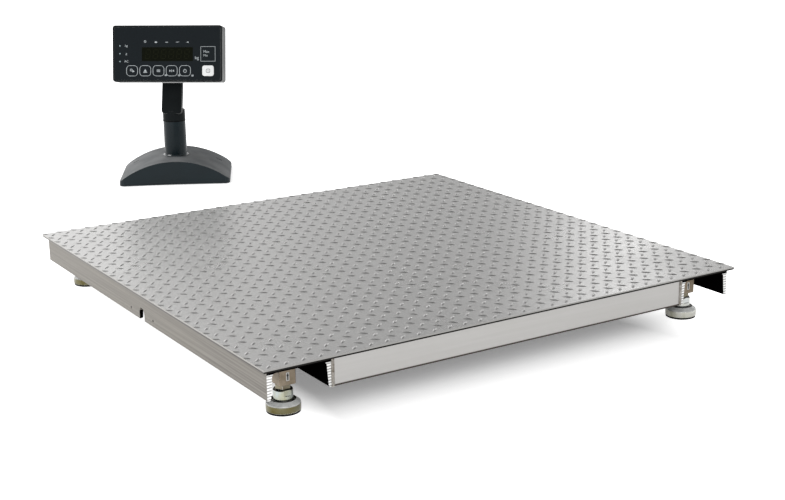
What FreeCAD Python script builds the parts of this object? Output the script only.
import FreeCAD, Part
import math
import os

from FreeCAD import Placement, Rotation, Vector

# A floor platform scale with its stand-up weight indicator, in millimetres.
# The origin is the middle of the load surface, +Z is up and +Y points from the
# front edge of the platform to the rear. The indicator stands behind the platform.

# Deck plate and the frame of channels under it
deck_width = 1000.0
deck_length = 1000.0
deck_thick = 5.0
deck_overhang = 9.0
channel_width = 117.0
channel_height = 50.0
channel_web = 6.0
flange_root = 10.0
flange_tip = 6.4
channel_root_radius = 6.5
channel_toe_radius = 3.2
joist_width = 66.0
joist_height = 38.0
joist_web = 4.5
joist_root = 7.0
joist_tip = 5.0
joist_root_radius = 4.0
joist_toe_radius = 2.5
joist_spacing = 188.0

# Load cells and what holds them
cell_section = 30.0
cell_length = 133.0
cell_nose = 18.0
cell_edge = 1.0
pocket_radius = 11.0
pocket_depth = 7.5
pocket_offset = 40.0
nipple_radius = 5.5
nipple_length = 9.0
spacer_thick = 12.5
spacer_width = 50.0
spacer_length = 63.0
bolt_radius = 6.0
bolt_pitch = 26.0
bolt_end = 15.0
bolt_head_radius = 9.0
bolt_head_height = 12.0
bolt_socket = 10.0
bolt_socket_depth = 6.0
bolt_tip_gap = 1.0
washer_radius = 12.0
washer_thick = 2.5

# Levelling feet
foot_inset = 68.0
stud_radius = 8.0
stud_tip_gap = 4.0
nut_across = 24.0
nut_height = 8.0
nut_gap = 1.5
head_radius = 16.5
head_height = 17.0
head_edge = 1.3
head_flats = 30.0
head_flat_height = 10.0
ball_radius = 7.5
ball_drop = 8.3
ball_neck_radius = 5.4
cup_radius = 29.0
cup_floor = 1.9
cup_slope = 5.5
cup_slope_width = 7.5
cup_shoulder = 4.0
cup_rim = 8.0
dish_depth = 5.0
rim_below_head = 0.8
socket_lip_radius = 6.3
collar_radius = 9.6
collar_height = 3.4
seal_inner = 10.8
seal_outer = 18.5
seal_height = 3.2
sole_radius = 28.2
sole_thick = 3.7

# Load cell leads, their clips and their way through the frame
lead_radius = 2.5
lead_bend = 40.0
lead_entry = 7.0
lead_first_run = 34.0
lead_rise_run = 50.0
lead_swing_run = 38.0
lead_last_run = 30.0
lead_depth = 25.0
lead_spacing = 34.0
lead_hole_radius = 5.0
clip_width = 11.0
clip_length = 7.0
clip_below = 2.0
side_clip_near = 142.0
side_clip_pitch = 54.0
cross_clip_pitch = 183.0
cross_clip_count = 4

# Junction box behind the notch in the left channel
notch_width = 22.0
notch_height = 23.0
box_flange_gap = 20.0
box_width = 50.0
box_length = 84.0
box_height = 34.0
box_wall = 2.2
box_corner = 3.0
box_rise = 6.0
lid_thick = 2.5
ear_pitch = 100.0
ear_thick = 10.0
ear_radius = 5.5
ear_rise = 11.5
mount_screw_radius = 2.0
mount_screw_head = 3.8
mount_screw_short = 2.5
lid_screw_radius = 1.5
lid_screw_inset = 6.0
lid_post_radius = 4.2
gland_radius = 5.6
gland_across = 12.0
gland_hex_length = 4.2
gland_length = 15.0
outlet_length = 10.0
board_thick = 1.6
board_margin = 2.5
board_drop = 15.0
terminal_height = 8.5
terminal_length = 13.5
terminal_count = 4

# Indicator: where it stands and how it is turned
indicator_x = 152.0
indicator_y = 1276.0
stand_turn = -27.5
neck_turn = -9.5
head_tilt = 12.0

# Indicator stand
base_width = 297.5
base_depth = 231.25
base_rise = 63.75
base_end_height = 12.5
base_wall = 3.5
base_corner = 17.5
base_hollow_front = 5.0
base_lift = 1.0
pad_radius = 10.0
pad_height = 4.0
pad_inset_x = 45.0
pad_inset_y = 32.5
slot_length = 16.25
slot_width = 6.25
slot_x = 115.0
slot_y = 50.0
tube_radius = 30.5
tube_bore = 25.5
tube_top = 158.75
tube_seat = 50.0
tube_boss_wall = 5.0
collar_top = 187.5
spigot_length = 37.5
spigot_bore = 10.0
arm_width = 55.0
arm_thick = 17.5
arm_foot = 178.75
arm_foot_radius = 8.75
pivot_y = 22.5
pivot_z = 301.5
knuckle_radius = 11.25

# Indicator head
head_width = 300.0
head_size = 152.0
shell_depth = 27.5
cover_depth = 22.5
head_wall = 3.0
front_wall = 3.5
head_corner = 7.5
pivot_back = 20.0
pivot_low = 31.25
lug_thick = 7.5
lug_radius = 12.5
pivot_pin_radius = 5.0
pivot_pin_length = 25.0
pivot_head_radius = 8.75
pivot_head_length = 5.0
panel_margin = 5.0
panel_thick = 0.8
window_width = 140.0
window_height = 37.5
window_z = -1.5
window_ledge = 3.75
key_size = 26.25
key_corner = 6.25
key_pitch = 36.25
first_key_x = -97.0
key_z = -46.0
key_depth = 6.25
key_proud = 0.3
key_travel = 0.6
power_key_x = 111.0
power_key_width = 31.25
power_key_height = 28.12
lamp_x = -130.0
lamp_pitch = 21.0
lamp_radius = 1.88
lamp_length = 11.25
pcb_width = 280.0
pcb_height = 125.0
pcb_depth = 16.88
digit_width = 18.75
digit_height = 32.5
digit_depth = 10.0
digit_count = 6
digit_pitch = 21.25
switch_size = 15.0
battery_width = 87.5
battery_height = 57.5
battery_depth = 17.5
cover_screw_radius = 1.5
cover_screw_head = 3.0
cover_post_radius = 4.0
cover_screw_inset = 15.0
socket_radius = 9.0
socket_length = 9.0
socket_hole_radius = 7.0
socket_x = 87.5

# Fits
thread_clearance = 0.08
bolt_clearance = 0.5
ball_clearance = 0.3
seal_clearance = 0.3
lead_clearance = 0.15
tube_clearance = 0.1
swivel_clearance = 0.1
swivel_gap = 0.3
pivot_clearance = 0.1
knuckle_clearance = 0.4
panel_clearance = 0.2
key_clearance = 0.3
box_clearance = 0.4

# Levels and places that follow from the sizes above
frame_width = deck_width - 2 * deck_overhang
frame_length = deck_length - 2 * deck_overhang
web_top = -deck_thick
web_under = web_top - channel_web
flange_bottom = web_top - channel_height
cell_top = web_under - spacer_thick
cell_bottom = cell_top - cell_section
cell_middle = (cell_top + cell_bottom) / 2
nut_bottom = cell_bottom - nut_height
head_top = nut_bottom - nut_gap
head_bottom = head_top - head_height
ball_z = head_bottom - ball_drop
cup_bottom = ball_z - ball_radius - ball_clearance - cup_floor
floor_z = cup_bottom - sole_thick
foot_x = deck_width / 2 - deck_overhang - channel_width / 2
foot_y = deck_length / 2 - foot_inset
flange_inner_x = deck_width / 2 - deck_overhang - channel_width
flange_outer_x = deck_width / 2 - deck_overhang
lead_start = cell_length - cell_nose + nipple_length - lead_entry
lead_z = -lead_depth
box_outer_x = -flange_outer_x + box_flange_gap
box_inner_x = box_outer_x + box_width
box_bottom = flange_bottom + box_rise
box_top = box_bottom + box_height
ear_z = flange_bottom + ear_rise
notch_radius = notch_width / 2
notch_middle = flange_bottom + notch_height - notch_radius
pivot_head_y = shell_depth + cover_depth + pivot_back

x_axis = Vector(1, 0, 0)
y_axis = Vector(0, 1, 0)
z_axis = Vector(0, 0, 1)
corners = {
    "front_left": (-1, -1),
    "front_right": (1, -1),
    "rear_left": (-1, 1),
    "rear_right": (1, 1),
}


def block(x_low, x_high, y_low, y_high, z_low, z_high):
    size = (x_high - x_low, y_high - y_low, z_high - z_low)
    return Part.makeBox(*size, Vector(x_low, y_low, z_low))


def rod(radius, length, start, direction=z_axis):
    return Part.makeCylinder(radius, length, start, direction)


def prism(points, direction):
    wire = Part.makePolygon(points + [points[0]])
    return Part.Face(wire).extrude(direction)


def hexagon(across_flats, height, middle, direction=z_axis):
    radius = across_flats / 2 / math.cos(math.radians(30))
    points = []
    for side in range(6):
        angle = math.radians(60 * side)
        points.append(Vector(radius * math.cos(angle), radius * math.sin(angle), 0))
    solid = prism(points, Vector(0, 0, height))
    solid.Placement = Placement(middle, Rotation(z_axis, direction))
    return solid


def edges_along(solid, direction):
    found = []
    for edge in solid.Edges:
        if not isinstance(edge.Curve, Part.Line):
            continue
        if abs(edge.tangentAt(edge.FirstParameter).dot(direction)) > 0.999:
            found.append(edge)
    return found


def rounded_plate(width, height, depth, radius, middle_x=0.0, y=0.0, middle_z=0.0):
    # A plate in the XZ plane with rounded corners, from y to y + depth
    plate = block(
        middle_x - width / 2, middle_x + width / 2,
        y, y + depth,
        middle_z - height / 2, middle_z + height / 2,
    )
    return plate.makeFillet(radius, edges_along(plate, y_axis))


def save(name, shape):
    shape.exportStep("parts/" + name + ".step")


# Deck and frame

def make_deck():
    half_x = deck_width / 2
    half_y = deck_length / 2
    return block(-half_x, half_x, -half_y, half_y, -deck_thick, 0)


def edges_near(solid, offset_x, z):
    # The pair of edges along Y that lie at offset_x either side of the middle, at height z
    pair = []
    for edge in edges_along(solid, y_axis):
        point = edge.CenterOfMass
        if abs(abs(point.x) - offset_x) < 0.01 and abs(point.z - z) < 0.01:
            pair.append(edge)
    return pair


def make_channel(width, height, web, root, tip, root_radius, toe_radius, length):
    # An inverted channel along Y: the web is on top and the flanges hang down
    half = width / 2
    outline = [
        Vector(-half, 0, 0),
        Vector(half, 0, 0),
        Vector(half, 0, -height),
        Vector(half - tip, 0, -height),
        Vector(half - root, 0, -web),
        Vector(root - half, 0, -web),
        Vector(tip - half, 0, -height),
        Vector(-half, 0, -height),
    ]
    solid = prism(outline, Vector(0, length, 0))
    solid.translate(Vector(0, -length / 2, 0))
    solid = solid.makeFillet(root_radius, edges_near(solid, half - root, -web))
    return solid.makeFillet(min(toe_radius, 0.9 * tip), edges_near(solid, half - tip, -height))


def make_main_channel(length):
    return make_channel(
        channel_width, channel_height, channel_web, flange_root, flange_tip,
        channel_root_radius, channel_toe_radius, length,
    )


def make_joist():
    joist = make_channel(
        joist_width, joist_height, joist_web, joist_root, joist_tip,
        joist_root_radius, joist_toe_radius, 2 * flange_inner_x,
    )
    joist.rotate(Vector(0, 0, 0), z_axis, 90)
    joist.translate(Vector(0, 0, web_top))
    return joist


def make_end_beam(side):
    beam = make_main_channel(2 * flange_inner_x)
    beam.rotate(Vector(0, 0, 0), z_axis, 90)
    beam.translate(Vector(0, side * (frame_length - channel_width) / 2, web_top))
    return beam


def lead_lanes():
    return (-lead_spacing / 2, lead_spacing / 2)


def make_side_channel(side):
    channel = make_main_channel(frame_length)
    channel.translate(Vector(side * foot_x, 0, web_top))
    inner_wall = side * (flange_inner_x - 1)
    for y in lead_lanes():
        start = Vector(inner_wall, y, lead_z)
        hole = rod(lead_hole_radius, flange_root + 2, start, x_axis * side)
        channel = channel.cut(hole)
    return channel


def make_left_channel():
    channel = make_side_channel(-1)
    outside = -flange_outer_x - 1
    reach = flange_root + 2
    arch = rod(notch_radius, reach, Vector(outside, 0, notch_middle), x_axis)
    legs = block(
        outside, outside + reach,
        -notch_radius, notch_radius,
        flange_bottom - 1, notch_middle,
    )
    channel = channel.cut(arch.fuse(legs))
    for side in (-1, 1):
        start = Vector(outside, side * ear_pitch / 2, ear_z)
        radius = mount_screw_radius + thread_clearance
        channel = channel.cut(rod(radius, reach, start, x_axis))
    return channel


# Load cells. Each is drawn with its foot on the Z axis and its fixed end towards +Y.

def place_at_corner(shape, corner):
    side_x, side_y = corners[corner]
    placed = shape.copy()
    if side_y > 0:
        placed.rotate(Vector(0, 0, 0), z_axis, 180)
    placed.translate(Vector(side_x * foot_x, side_y * foot_y, 0))
    return placed


def at_all_corners(shapes):
    placed = []
    for corner in corners:
        for shape in shapes:
            placed.append(place_at_corner(shape, corner))
    return Part.makeCompound(placed)


def bolt_places():
    fixed_end = cell_length - cell_nose
    return (fixed_end - bolt_end, fixed_end - bolt_end - bolt_pitch)


def make_load_cell():
    half = cell_section / 2
    fixed_end = cell_length - cell_nose
    cell = block(-half, half, -cell_nose, fixed_end, cell_bottom, cell_top)
    cell = cell.makeChamfer(cell_edge, cell.Edges)
    foot_hole = rod(stud_radius + thread_clearance, cell_section, Vector(0, 0, cell_bottom))
    cell = cell.cut(foot_hole)
    for y in bolt_places():
        hole = rod(bolt_radius + bolt_clearance, cell_section, Vector(0, y, cell_bottom))
        cell = cell.cut(hole)
    for side in (-1, 1):
        start = Vector(side * half, pocket_offset, cell_middle)
        cell = cell.cut(rod(pocket_radius, pocket_depth, start, x_axis * -side))
    nipple = rod(nipple_radius, nipple_length, Vector(0, fixed_end, cell_middle), y_axis)
    bore = rod(
        lead_radius + lead_clearance, lead_entry, Vector(0, lead_start, cell_middle), y_axis)
    return cell.fuse(nipple).cut(bore).removeSplitter()


def make_spacer():
    half = spacer_width / 2
    fixed_end = cell_length - cell_nose
    plate = block(-half, half, fixed_end - spacer_length, fixed_end, cell_top, web_under)
    for y in bolt_places():
        start = Vector(0, y, cell_top)
        plate = plate.cut(rod(bolt_radius + thread_clearance, spacer_thick, start))
    return plate


def make_cell_bolts():
    pieces = []
    head_face = cell_bottom - washer_thick
    for y in bolt_places():
        shank = rod(bolt_radius, web_under - bolt_tip_gap - head_face, Vector(0, y, head_face))
        head = rod(bolt_head_radius, bolt_head_height, Vector(0, y, head_face - bolt_head_height))
        bolt = shank.fuse(head).removeSplitter()
        socket_start = Vector(0, y, head_face - bolt_head_height)
        bolt = bolt.cut(hexagon(bolt_socket, bolt_socket_depth, socket_start))
        washer = rod(washer_radius, washer_thick, Vector(0, y, head_face))
        washer = washer.cut(
            rod(bolt_radius + bolt_clearance, washer_thick, Vector(0, y, head_face)))
        pieces.append(bolt)
        pieces.append(washer)
    return pieces


# Levelling feet, each drawn on the Z axis

def make_lock_nut():
    nut = hexagon(nut_across, nut_height, Vector(0, 0, nut_bottom))
    rounding = Part.makeCone(
        nut_across / 2 + nut_height, nut_across / 2, nut_height, Vector(0, 0, nut_bottom))
    nut = nut.common(rounding.fuse(hexagon(nut_across, nut_height, Vector(0, 0, nut_bottom))))
    return nut.cut(rod(stud_radius + thread_clearance, nut_height, Vector(0, 0, nut_bottom)))


def make_foot_stud():
    shank = rod(stud_radius, cell_top - stud_tip_gap - head_top, Vector(0, 0, head_top))
    tip = [edge for edge in shank.Edges if abs(edge.CenterOfMass.z - shank.BoundBox.ZMax) < 0.01]
    shank = shank.makeChamfer(head_edge, tip)
    head = rod(head_radius, head_height, Vector(0, 0, head_bottom))
    rims = [edge for edge in head.Edges if isinstance(edge.Curve, Part.Circle)]
    head = head.makeChamfer(head_edge, rims)
    for side in (-1, 1):
        flat = block(
            -head_radius, head_radius,
            side * head_flats / 2 - (head_radius if side < 0 else 0),
            side * head_flats / 2 + (head_radius if side > 0 else 0),
            head_top - head_flat_height, head_top,
        )
        head = head.cut(flat)
    neck = rod(ball_neck_radius, ball_drop, Vector(0, 0, ball_z))
    ball = Part.makeSphere(ball_radius, Vector(0, 0, ball_z))
    return shank.fuse([head, neck, ball]).removeSplitter()


def make_foot_seal():
    z = head_bottom - seal_clearance - seal_height
    ring = rod(seal_outer, seal_height, Vector(0, 0, z))
    return ring.cut(rod(seal_inner, seal_height, Vector(0, 0, z)))


def make_foot_cup():
    rim_z = head_bottom - rim_below_head
    dish_z = rim_z - dish_depth
    slope_z = rim_z - cup_slope
    cup = rod(cup_radius, slope_z - cup_bottom, Vector(0, 0, cup_bottom))
    slope = Part.makeCone(cup_radius, cup_radius - cup_slope_width, cup_slope, Vector(0, 0, slope_z))
    cup = cup.fuse(slope).removeSplitter()
    shoulder = [edge for edge in cup.Edges
                if isinstance(edge.Curve, Part.Circle) and abs(edge.CenterOfMass.z - slope_z) < 0.01]
    cup = cup.makeFillet(cup_shoulder, shoulder)
    cup = cup.cut(rod(cup_radius - cup_rim, dish_depth, Vector(0, 0, dish_z)))
    cup = cup.fuse(rod(collar_radius, collar_height, Vector(0, 0, dish_z)))
    cup = cup.cut(Part.makeSphere(ball_radius + ball_clearance, Vector(0, 0, ball_z)))
    mouth = rod(socket_lip_radius, dish_z + collar_height - ball_z, Vector(0, 0, ball_z))
    return cup.cut(mouth).removeSplitter()


def make_foot_sole():
    return rod(sole_radius, sole_thick, Vector(0, 0, floor_z))


# Load cell leads

def bent_path(points, largest_bend):
    # Straight runs joined by tangent arcs, as an edge list
    edges = []
    start = points[0]
    for index in range(1, len(points) - 1):
        corner = points[index]
        back = points[index - 1] - corner
        ahead = points[index + 1] - corner
        turn = math.pi - back.getAngle(ahead)
        half_tangent = math.tan(turn / 2)
        room = 0.45 * min(back.Length, ahead.Length) / half_tangent
        radius = min(largest_bend, room) if turn > math.radians(60) else room
        print("lead bend radius %.0f mm" % radius)
        back.normalize()
        ahead.normalize()
        setback = radius * half_tangent
        arc_start = corner + back * setback
        arc_end = corner + ahead * setback
        inward = back + ahead
        inward.normalize()
        middle = corner + inward * (radius / math.cos(turn / 2) - radius)
        edges.append(Part.LineSegment(start, arc_start).toShape())
        edges.append(Part.Arc(arc_start, middle, arc_end).toShape())
        start = arc_end
    edges.append(Part.LineSegment(start, points[-1]).toShape())
    return edges


def make_lead(points):
    path = Part.Wire(bent_path(points, lead_bend))
    direction = points[1] - points[0]
    ring = Part.Wire([Part.Circle(points[0], direction, lead_radius).toShape()])
    lead = path.makePipeShell([ring], True, True)
    expected = math.pi * lead_radius ** 2 * path.Length
    print("lead length %.0f mm, volume ratio %.4f" % (path.Length, lead.Volume / expected))
    return lead


def lead_points(corner):
    side_x, side_y = corners[corner]
    x = side_x * foot_x
    cell_exit = foot_y - lead_start
    gland_end = box_length / 2 + gland_length - lead_entry
    box_middle = (box_outer_x + box_inner_x) / 2
    points = [
        Vector(x, cell_exit, cell_middle),
        Vector(x, cell_exit - lead_first_run, cell_middle),
        Vector(x, cell_exit - lead_first_run - lead_rise_run, lead_z),
    ]
    if side_x < 0:
        points.append(Vector(x, gland_end + lead_last_run + lead_swing_run, lead_z))
        points.append(Vector(box_middle, gland_end + lead_last_run, lead_z))
        points.append(Vector(box_middle, gland_end, lead_z))
    else:
        points.append(Vector(x, lead_spacing / 2, lead_z))
        inside = box_inner_x + gland_length - lead_entry
        points.append(Vector(inside, lead_spacing / 2, lead_z))
    return [Vector(p.x, side_y * p.y, p.z) for p in points]


def make_clip(x, y, top, along):
    # A moulded saddle screwed under the web, bored for the lead
    bottom = lead_z - lead_radius - clip_below
    across_x = clip_length if along == x_axis else clip_width
    across_y = clip_length if along == y_axis else clip_width
    clip = block(
        x - across_x / 2, x + across_x / 2,
        y - across_y / 2, y + across_y / 2,
        bottom, top,
    )
    bore_start = Vector(x, y, lead_z) - along * clip_length / 2
    return clip.cut(rod(lead_radius + lead_clearance, clip_length, bore_start, along))


def make_clips():
    clips = []
    for side_x, side_y in corners.values():
        for y in (side_clip_near, side_clip_near + side_clip_pitch):
            clips.append(make_clip(side_x * foot_x, side_y * y, web_under, y_axis))
    first = -cross_clip_pitch * (cross_clip_count - 1) / 2
    for y in lead_lanes():
        for index in range(cross_clip_count):
            x = first + index * cross_clip_pitch
            clips.append(make_clip(x, y, web_top - joist_web, x_axis))
    return Part.makeCompound(clips)


# Junction box

def make_junction_box():
    half = box_length / 2
    box = block(box_outer_x, box_inner_x, -half, half, box_bottom, box_top)
    box = box.makeFillet(box_corner, edges_along(box, z_axis))
    ear_start = -flange_outer_x + flange_root
    for side in (-1, 1):
        y = side * ear_pitch / 2
        low, high = sorted((side * (half - 2 * box_corner), y + side * ear_radius))
        ear = block(
            box_outer_x, box_outer_x + ear_thick,
            low, high,
            ear_z - ear_radius, ear_z + ear_radius,
        )
        boss = rod(ear_radius, box_outer_x + 1 - ear_start, Vector(ear_start, y, ear_z), x_axis)
        hole = rod(
            mount_screw_radius + thread_clearance, 2 * box_flange_gap,
            Vector(-flange_outer_x, y, ear_z), x_axis)
        box = box.fuse([ear, boss]).cut(hole)
    hollow = block(
        box_outer_x + box_wall, box_inner_x - box_wall,
        box_wall - half, half - box_wall,
        box_bottom, box_top - box_wall,
    )
    box = box.cut(hollow)
    for x, y in lid_screw_places():
        post = rod(lid_post_radius, box_height - box_wall / 2, Vector(x, y, box_bottom))
        bore = rod(lid_screw_radius + thread_clearance, box_height / 2, Vector(x, y, box_bottom))
        box = box.fuse(post).cut(bore)
    for start, direction, length in gland_places():
        inside = start - direction * (box_wall + 1)
        box = box.cut(rod(lead_radius + 1, box_wall + 2, inside, direction))
    return box.removeSplitter()


def lid_screw_places():
    places = []
    for x in (box_outer_x + lid_screw_inset, box_inner_x - lid_screw_inset):
        for side in (-1, 1):
            places.append((x, side * (box_length / 2 - lid_screw_inset)))
    return places


def gland_places():
    box_middle = (box_outer_x + box_inner_x) / 2
    half = box_length / 2
    places = []
    for side in (-1, 1):
        places.append((Vector(box_middle, side * half, lead_z), y_axis * side, gland_length))
    for y in lead_lanes():
        places.append((Vector(box_inner_x, y, lead_z), x_axis, gland_length))
    places.append((Vector(box_outer_x, 0, notch_middle), x_axis * -1, outlet_length))
    return places


def make_glands():
    glands = []
    for start, direction, length in gland_places():
        nut = hexagon(gland_across, gland_hex_length, start, direction)
        dome = rod(gland_radius, length, start, direction)
        bore = rod(lead_radius + lead_clearance, length, start, direction)
        glands.append(nut.fuse(dome).cut(bore).removeSplitter())
    return Part.makeCompound(glands)


def make_junction_lid():
    half = box_length / 2
    lid = block(box_outer_x, box_inner_x, -half, half, box_bottom - lid_thick, box_bottom)
    lid = lid.makeFillet(box_corner, edges_along(lid, z_axis))
    for x, y in lid_screw_places():
        hole = rod(
            lid_screw_radius + thread_clearance, lid_thick, Vector(x, y, box_bottom - lid_thick))
        lid = lid.cut(hole)
    return lid


def make_junction_screws():
    screws = []
    for x, y in lid_screw_places():
        shank = rod(
            lid_screw_radius, lid_thick + box_height / 3, Vector(x, y, box_bottom - lid_thick))
        head = rod(
            2 * lid_screw_radius, lid_screw_radius / 2,
            Vector(x, y, box_bottom - lid_thick - lid_screw_radius / 2))
        screws.append(shank.fuse(head).removeSplitter())
    for side in (-1, 1):
        y = side * ear_pitch / 2
        tip_x = -flange_outer_x + mount_screw_short
        head_x = box_outer_x + ear_thick
        shank = rod(mount_screw_radius, head_x - tip_x, Vector(tip_x, y, ear_z), x_axis)
        head = rod(mount_screw_head, mount_screw_radius, Vector(head_x, y, ear_z), x_axis)
        screws.append(shank.fuse(head).removeSplitter())
    return Part.makeCompound(screws)


def make_junction_board():
    # The summing board hangs under four posts and carries its terminal blocks
    ceiling = box_top - box_wall
    board_top = ceiling - board_drop
    edge = box_wall + board_margin
    half = box_length / 2
    clear = 2 * lid_screw_inset
    board = block(
        box_outer_x + edge, box_inner_x - edge,
        clear - half, half - clear,
        board_top - board_thick, board_top,
    )
    pieces = [board]
    for x in (box_outer_x + 2 * edge, box_inner_x - 2 * edge):
        for side in (-1, 1):
            y = side * (half - clear - board_margin)
            pieces.append(rod(board_margin - 1, board_drop, Vector(x, y, board_top)))
    step = terminal_length
    first = -step * (terminal_count - 1) / 2
    x = (box_outer_x + box_inner_x) / 2
    for index in range(terminal_count):
        y = first + index * step
        low = board_top - board_thick - terminal_height
        body = block(
            x - terminal_height / 2, x + terminal_height / 2,
            y - step / 2 + 0.5, y + step / 2 - 0.5,
            low, low + terminal_height,
        )
        pieces.append(body)
    return Part.makeCompound(pieces)


# Indicator. The stand is drawn on the Z axis with its feet at z = 0, facing -Y.

def place_stand(shape, turn=stand_turn):
    placed = shape.copy()
    placed.rotate(Vector(0, 0, 0), z_axis, turn)
    placed.translate(Vector(indicator_x, indicator_y, floor_z))
    return placed


def place_neck(shape):
    return place_stand(shape, stand_turn + neck_turn)


def place_head(shape):
    # The head is drawn upright with its front face at y = 0, then leans back on its pivot
    leaned = shape.copy()
    leaned.translate(Vector(0, pivot_y - pivot_head_y, pivot_z + pivot_low))
    leaned.rotate(Vector(0, pivot_y, pivot_z), x_axis, -head_tilt)
    return place_neck(leaned)


def vault(width, depth, end_height, rise, corner, hollow, bottom):
    half = width / 2
    sides = [
        Part.LineSegment(Vector(half, 0, end_height), Vector(half, 0, bottom)).toShape(),
        Part.LineSegment(Vector(half, 0, bottom), Vector(-half, 0, bottom)).toShape(),
        Part.LineSegment(Vector(-half, 0, bottom), Vector(-half, 0, end_height)).toShape(),
        Part.Arc(
            Vector(-half, 0, end_height), Vector(0, 0, rise), Vector(half, 0, end_height)
        ).toShape(),
    ]
    arch = Part.Face(Part.Wire(sides)).extrude(Vector(0, depth, 0))
    arch.translate(Vector(0, -depth / 2, 0))
    plan = block(-half, half, -depth / 2, depth / 2, bottom, rise)
    plan = plan.makeFillet(corner, edges_along(plan, z_axis))
    front_radius = (half ** 2 + hollow ** 2) / (2 * hollow)
    scoop = rod(
        front_radius, rise - bottom, Vector(0, hollow - front_radius - depth / 2, bottom))
    return arch.common(plan).cut(scoop)


def pad_places():
    places = []
    for side_x in (-1, 1):
        for side_y in (-1, 1):
            places.append((
                side_x * (base_width / 2 - pad_inset_x),
                side_y * (base_depth / 2 - pad_inset_y),
            ))
    return places


def make_stand_base():
    outer = vault(
        base_width, base_depth, base_end_height, base_rise,
        base_corner, base_hollow_front, base_lift)
    inner = vault(
        base_width - 2 * base_wall, base_depth - 2 * base_wall,
        base_end_height - base_wall, base_rise - base_wall,
        base_corner - base_wall, base_hollow_front, base_lift)
    base = outer.cut(inner)
    boss_radius = tube_radius + tube_clearance + tube_boss_wall
    boss = rod(boss_radius, base_rise, Vector(0, 0, tube_seat - base_wall))
    posts = []
    for x, y in pad_places():
        posts.append(rod(pad_radius, base_rise, Vector(x, y, pad_height)))
    base = base.fuse([outer.common(boss)] + [outer.common(post) for post in posts])
    base = base.cut(rod(tube_radius + tube_clearance, base_rise, Vector(0, 0, tube_seat)))
    for side in (-1, 1):
        slot = block(
            side * slot_x - slot_length / 2, side * slot_x + slot_length / 2,
            slot_y - slot_width / 2, slot_y + slot_width / 2,
            base_end_height, base_rise,
        )
        base = base.cut(slot)
    return base.removeSplitter()


def make_stand_feet():
    return Part.makeCompound(
        [rod(pad_radius, pad_height, Vector(x, y, 0)) for x, y in pad_places()])


def make_stand_tube():
    tube = rod(tube_radius, tube_top - tube_seat, Vector(0, 0, tube_seat))
    return tube.cut(rod(tube_bore, tube_top - tube_seat, Vector(0, 0, tube_seat)))


def make_neck_arm():
    collar_bottom = tube_top + swivel_gap
    collar = rod(tube_radius, collar_top - collar_bottom, Vector(0, 0, collar_bottom))
    spigot = rod(
        tube_bore - swivel_clearance, spigot_length + swivel_gap,
        Vector(0, 0, tube_top - spigot_length))
    foot = Vector(0, arm_thick / 2 - tube_radius - 1, arm_foot)
    pivot = Vector(0, pivot_y, pivot_z)
    along = pivot - foot
    length = along.Length
    half = arm_thick / 2
    arm = block(-arm_width / 2, arm_width / 2, -half, half, 0, length)
    toes = []
    for edge in edges_along(arm, y_axis):
        if edge.CenterOfMass.z < 1:
            toes.append(edge)
    arm = arm.makeFillet(arm_foot_radius, toes)
    arm.Placement = Placement(foot, Rotation(z_axis, along))
    knuckle = rod(knuckle_radius, arm_width, Vector(-arm_width / 2, pivot_y, pivot_z), x_axis)
    neck = collar.fuse([spigot, arm, knuckle])
    neck = neck.cut(rod(spigot_bore, spigot_length, Vector(0, 0, tube_top - spigot_length)))
    pin_hole = rod(
        pivot_pin_radius + pivot_clearance, arm_width,
        Vector(-arm_width / 2, pivot_y, pivot_z), x_axis)
    return neck.cut(pin_hole).removeSplitter()


def key_places():
    return [first_key_x + index * key_pitch for index in range(5)]


def lamp_places():
    return [lamp_pitch * step for step in (1, 0, -1)]


def cover_screw_places():
    places = []
    for side_x in (-1, 1):
        for side_z in (-1, 1):
            places.append((
                side_x * (head_width / 2 - cover_screw_inset),
                side_z * (head_size / 2 - cover_screw_inset),
            ))
    return places


def cut_front_openings(plate, y, depth, window_shrink):
    window = rounded_plate(
        window_width - 2 * window_shrink, window_height - 2 * window_shrink,
        depth, 1.0, 0, y, window_z)
    plate = plate.cut(window)
    gap = 2 * key_clearance
    for x in key_places():
        hole = rounded_plate(key_size + gap, key_size + gap, depth, key_corner, x, y, key_z)
        plate = plate.cut(hole)
    hole = rounded_plate(
        power_key_width + gap, power_key_height + gap, depth, key_corner,
        power_key_x, y, key_z)
    plate = plate.cut(hole)
    for z in lamp_places():
        start = Vector(lamp_x, y, z)
        plate = plate.cut(rod(lamp_radius + panel_clearance, depth, start, y_axis))
    return plate


def make_head_shell():
    shell = rounded_plate(head_width, head_size, shell_depth, head_corner)
    hollow = rounded_plate(
        head_width - 2 * head_wall, head_size - 2 * head_wall, shell_depth - front_wall,
        head_corner - head_wall, 0, front_wall, 0)
    shell = shell.cut(hollow)
    recess = rounded_plate(
        head_width - 2 * panel_margin, head_size - 2 * panel_margin,
        panel_thick, head_corner - head_wall)
    shell = shell.cut(recess)
    for x, z in cover_screw_places():
        start = Vector(x, front_wall - 1, z)
        post = rod(cover_post_radius, shell_depth - front_wall + 1, start, y_axis)
        bore = rod(
            cover_screw_radius + thread_clearance, shell_depth / 2,
            Vector(x, shell_depth / 2, z), y_axis)
        shell = shell.fuse(post).cut(bore)
    shell = cut_front_openings(shell, panel_thick, front_wall - panel_thick, window_ledge)
    return shell.removeSplitter()


def make_keypad_panel():
    trim = 2 * panel_clearance
    panel = rounded_plate(
        head_width - 2 * panel_margin - trim, head_size - 2 * panel_margin - trim,
        panel_thick, head_corner - head_wall)
    return cut_front_openings(panel, 0, panel_thick, 0)


def make_display_window():
    trim = 2 * panel_clearance
    return rounded_plate(
        window_width - trim, window_height - trim, panel_thick, 1.0, 0, 0, window_z)


def make_key(x, width, height):
    return rounded_plate(
        width, height, key_depth + key_proud, key_corner - key_clearance,
        x, -key_proud, key_z)


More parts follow.
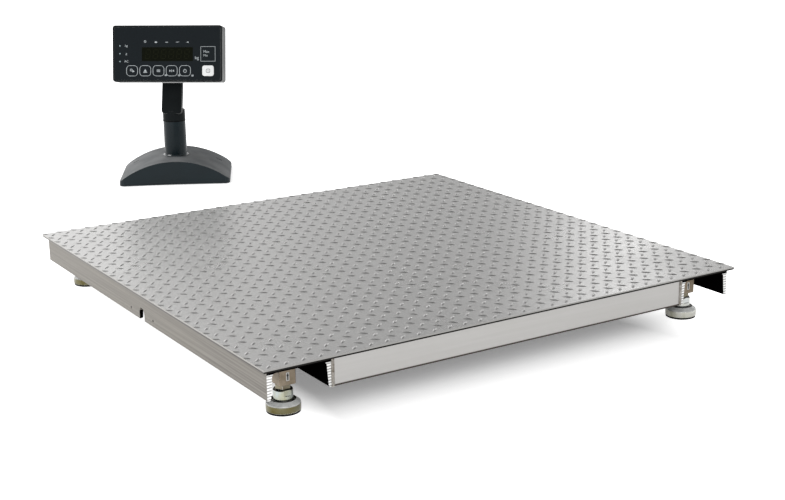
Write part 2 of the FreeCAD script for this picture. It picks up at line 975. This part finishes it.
def make_lamps():
    lamps = []
    for z in lamp_places():
        start = Vector(lamp_x, 0, z)
        lens = rod(lamp_radius, lamp_length, start, y_axis)
        foot = rod(
            lamp_radius + 1, pcb_depth - lamp_length, Vector(lamp_x, lamp_length, z), y_axis)
        lamps.append(lens.fuse(foot).removeSplitter())
    return Part.makeCompound(lamps)


def make_display_board():
    board = rounded_plate(
        pcb_width, pcb_height, board_thick, cover_screw_radius, 0, pcb_depth, 0)
    for x, z in cover_screw_places():
        around = rod(
            cover_post_radius + box_clearance, board_thick, Vector(x, pcb_depth, z), y_axis)
        board = board.cut(around)
    pieces = [board]
    first = -digit_pitch * (digit_count - 1) / 2
    for index in range(digit_count):
        x = first + index * digit_pitch
        pieces.append(block(
            x - digit_width / 2, x + digit_width / 2,
            pcb_depth - digit_depth, pcb_depth,
            window_z - digit_height / 2, window_z + digit_height / 2,
        ))
    half = switch_size / 2
    switch_front = key_depth + key_travel + key_clearance
    for x in key_places() + [power_key_x]:
        pieces.append(
            block(x - half, x + half, switch_front, pcb_depth, key_z - half, key_z + half))
    return Part.makeCompound(pieces)


def make_battery():
    rear_face = shell_depth + cover_depth - head_wall
    return block(
        -battery_width / 2, battery_width / 2,
        rear_face - battery_depth, rear_face,
        -battery_height / 2, battery_height / 2,
    )


def make_head_cover():
    cover = rounded_plate(head_width, head_size, cover_depth, head_corner, 0, shell_depth, 0)
    back = [edge for edge in cover.Edges
            if edge.BoundBox.YMin > shell_depth + cover_depth - 0.01]
    cover = cover.makeFillet(head_wall, back)
    hollow = rounded_plate(
        head_width - 2 * head_wall, head_size - 2 * head_wall, cover_depth - head_wall,
        head_corner - head_wall, 0, shell_depth, 0)
    cover = cover.cut(hollow)
    for x, z in cover_screw_places():
        start = Vector(x, shell_depth, z)
        post = rod(cover_post_radius, cover_depth - head_wall + 1, start, y_axis)
        bore = rod(cover_screw_radius + thread_clearance, cover_depth, start, y_axis)
        sink_start = start + y_axis * (cover_depth / 2)
        sink = rod(cover_screw_head + thread_clearance, cover_depth / 2, sink_start, y_axis)
        cover = cover.fuse(post).cut([bore, sink])
    back_y = shell_depth + cover_depth
    for side in (-1, 1):
        inner = side * (arm_width / 2 + knuckle_clearance)
        low, high = sorted((inner, inner + side * lug_thick))
        web = block(
            low, high,
            back_y - 1, pivot_head_y,
            -pivot_low - lug_radius, lug_radius - pivot_low,
        )
        eye = rod(lug_radius, lug_thick, Vector(low, pivot_head_y, -pivot_low), x_axis)
        pin_hole = rod(
            pivot_pin_radius + thread_clearance, lug_thick,
            Vector(low, pivot_head_y, -pivot_low), x_axis)
        cover = cover.fuse([web, eye]).cut(pin_hole)
    for x in socket_places():
        start = Vector(x, back_y - head_wall - 1, -pivot_low)
        cover = cover.cut(rod(socket_hole_radius, head_wall + 2, start, y_axis))
    return cover.removeSplitter()


def socket_places():
    return (-socket_x, socket_x)


def make_sockets():
    # A cable gland for the scale lead and a power inlet, both without their cables
    back_y = shell_depth + cover_depth
    pieces = []
    for x in socket_places():
        start = Vector(x, back_y, -pivot_low)
        ring = hexagon(2 * socket_radius, socket_length / 2, start, y_axis)
        dome = rod(socket_radius - 1, socket_length, start, y_axis)
        inside = start - y_axis * head_wall
        neck = rod(socket_hole_radius - thread_clearance, head_wall, inside, y_axis)
        bore = rod(lead_radius + lead_clearance, socket_length + head_wall, inside, y_axis)
        pieces.append(ring.fuse([dome, neck]).cut(bore).removeSplitter())
    return Part.makeCompound(pieces)


def make_head_screws():
    screws = []
    for x, z in cover_screw_places():
        seat = shell_depth + cover_depth / 2
        shank_start = shell_depth / 2 + 2
        shank = rod(
            cover_screw_radius, seat - shank_start, Vector(x, shank_start, z), y_axis)
        head = rod(cover_screw_head, cover_screw_radius, Vector(x, seat, z), y_axis)
        screws.append(shank.fuse(head).removeSplitter())
    for side in (-1, 1):
        outer = arm_width / 2 + knuckle_clearance + lug_thick
        middle = Vector(side * outer, pivot_head_y, -pivot_low)
        shank = rod(pivot_pin_radius, pivot_pin_length, middle, x_axis * -side)
        head = rod(pivot_head_radius, pivot_head_length, middle, x_axis * side)
        screws.append(shank.fuse(head).removeSplitter())
    return Part.makeCompound(screws)


os.makedirs("parts", exist_ok=True)

save("deck_plate", make_deck())
save("side_channel_left", make_left_channel())
save("side_channel_right", make_side_channel(1))
save("front_beam", make_end_beam(-1))
save("rear_beam", make_end_beam(1))
joist_rows = {"front_joist": -joist_spacing, "middle_joist": 0.0, "rear_joist": joist_spacing}
for name, y in joist_rows.items():
    joist = make_joist()
    joist.translate(Vector(0, y, 0))
    save(name, joist)

for corner in corners:
    save("load_cell_" + corner, place_at_corner(make_load_cell(), corner))
    save("foot_stud_" + corner, place_at_corner(make_foot_stud(), corner))
    save("foot_seal_" + corner, place_at_corner(make_foot_seal(), corner))
    save("foot_cup_" + corner, place_at_corner(make_foot_cup(), corner))
    save("foot_sole_" + corner, place_at_corner(make_foot_sole(), corner))
    save("cell_lead_" + corner, make_lead(lead_points(corner)))
save("cell_spacers", at_all_corners([make_spacer()]))
save("cell_bolts", at_all_corners(make_cell_bolts()))
save("lock_nuts", at_all_corners([make_lock_nut()]))
save("lead_clips", make_clips())

save("junction_box", make_junction_box())
save("junction_lid", make_junction_lid())
save("junction_board", make_junction_board())
save("junction_glands", make_glands())
save("junction_screws", make_junction_screws())

save("stand_base", place_stand(make_stand_base()))
save("stand_feet", place_stand(make_stand_feet()))
save("stand_tube", place_stand(make_stand_tube()))
save("neck_arm", place_neck(make_neck_arm()))

save("head_shell", place_head(make_head_shell()))
save("head_cover", place_head(make_head_cover()))
save("keypad_panel", place_head(make_keypad_panel()))
save("display_window", place_head(make_display_window()))
save("display_board", place_head(make_display_board()))
save("battery", place_head(make_battery()))
save("status_lamps", place_head(make_lamps()))
save("head_sockets", place_head(make_sockets()))
save("head_screws", place_head(make_head_screws()))
for number, x in enumerate(key_places(), start=1):
    save("key_%d" % number, place_head(make_key(x, key_size, key_size)))
save("power_key", place_head(make_key(power_key_x, power_key_width, power_key_height)))
